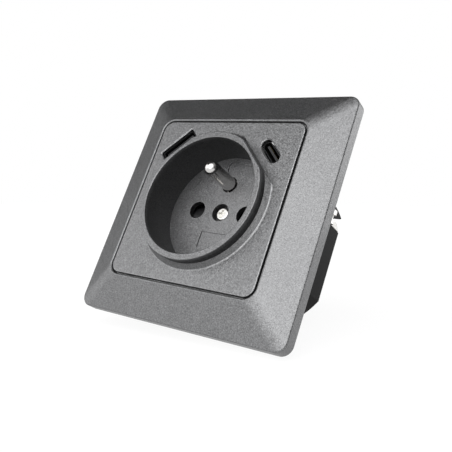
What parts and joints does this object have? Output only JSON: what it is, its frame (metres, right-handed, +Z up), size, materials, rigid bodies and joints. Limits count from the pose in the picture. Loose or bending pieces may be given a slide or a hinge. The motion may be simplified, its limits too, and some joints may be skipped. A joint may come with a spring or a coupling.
{
  "type": "wall socket",
  "caption": "Flush wall socket with an earth pin, a raised round collar, two charging ports and a square bevelled cover frame.",
  "frame": {"origin": "centre of the cover frame on the wall's surface", "axes": "+X to the right and +Z up as seen on the wall, +Y into the wall, so the front faces -Y"},
  "size_m": [0.08, 0.0482, 0.08],
  "materials": {
    "frame_paint": "satin anthracite metallic lacquer on moulded plastic",
    "plate_paint": "satin anthracite metallic lacquer on moulded plastic",
    "zinc_screw": "bright zinc plate",
    "galvanised_sheet": "galvanised sheet",
    "black_plastic": "fine spark-eroded texture",
    "nickel_pin": "nickel-plated brass, satin",
    "brass_strip": "bright stamped strip",
    "terminal_brass": "machined",
    "grey_plastic": "moulded",
    "spring_steel": "drawn wire",
    "claw_steel": "bright zinc plate on stamped steel",
    "circuit_board": "solder mask on glass laminate",
    "header_pins": "tinned pins in black strip",
    "port_shell": "nickel-plated, dark inside",
    "port_tongue": "moulded",
    "port_tongue_c": "moulded",
    "ferrite": "sintered core, taped winding",
    "capacitor_sleeve": "shrunk sleeve"
  },
  "bodies": {
    "socket": {"cover_frame": "frame_paint", "centre_plate": "plate_paint", "cover_screw": "zinc_screw", "support_frame": "galvanised_sheet", "base_housing": "black_plastic", "rear_cover": "black_plastic", "case_screws": "zinc_screw", "earth_pin": "nickel_pin", "earth_strap": "brass_strip", "line_contact": "brass_strip", "neutral_contact": "brass_strip", "line_terminal": "terminal_brass", "earth_terminal": "terminal_brass", "neutral_terminal": "terminal_brass", "terminal_screws": "zinc_screw", "shutter_spring": "spring_steel", "claw_screws": "zinc_screw", "usb_board": "circuit_board", "board_header": "header_pins", "power_board": "circuit_board", "usb_a_shell": "port_shell", "usb_a_tongue": "port_tongue", "usb_c_shell": "port_shell", "usb_c_tongue": "port_tongue_c", "transformer": "ferrite", "input_capacitor": "capacitor_sleeve", "output_capacitor": "capacitor_sleeve"},
    "shutter": {"shutter": "grey_plastic"},
    "claw_right": {"claw_right": "claw_steel"},
    "claw_left": {"claw_left": "claw_steel"}
  },
  "joints": [
    {"name": "shutter_slide", "type": "slide", "parent": "socket", "child": "shutter", "axis": [0, 0, -1], "range_m": [0, 0.0065], "stiffness_N_per_m": 120, "springref_m": -0.004, "deforming": ["shutter_spring"]},
    {"name": "claw_right_swing", "type": "hinge", "parent": "socket", "child": "claw_right", "pos_m": [0.02474, 0.00095, 0.0128], "axis": [0, 0, -1], "range_deg": [0, 15]},
    {"name": "claw_left_swing", "type": "hinge", "parent": "socket", "child": "claw_left", "pos_m": [-0.02474, 0.00095, -0.0128], "axis": [0, 0, 1], "range_deg": [0, 15]}
  ]
}
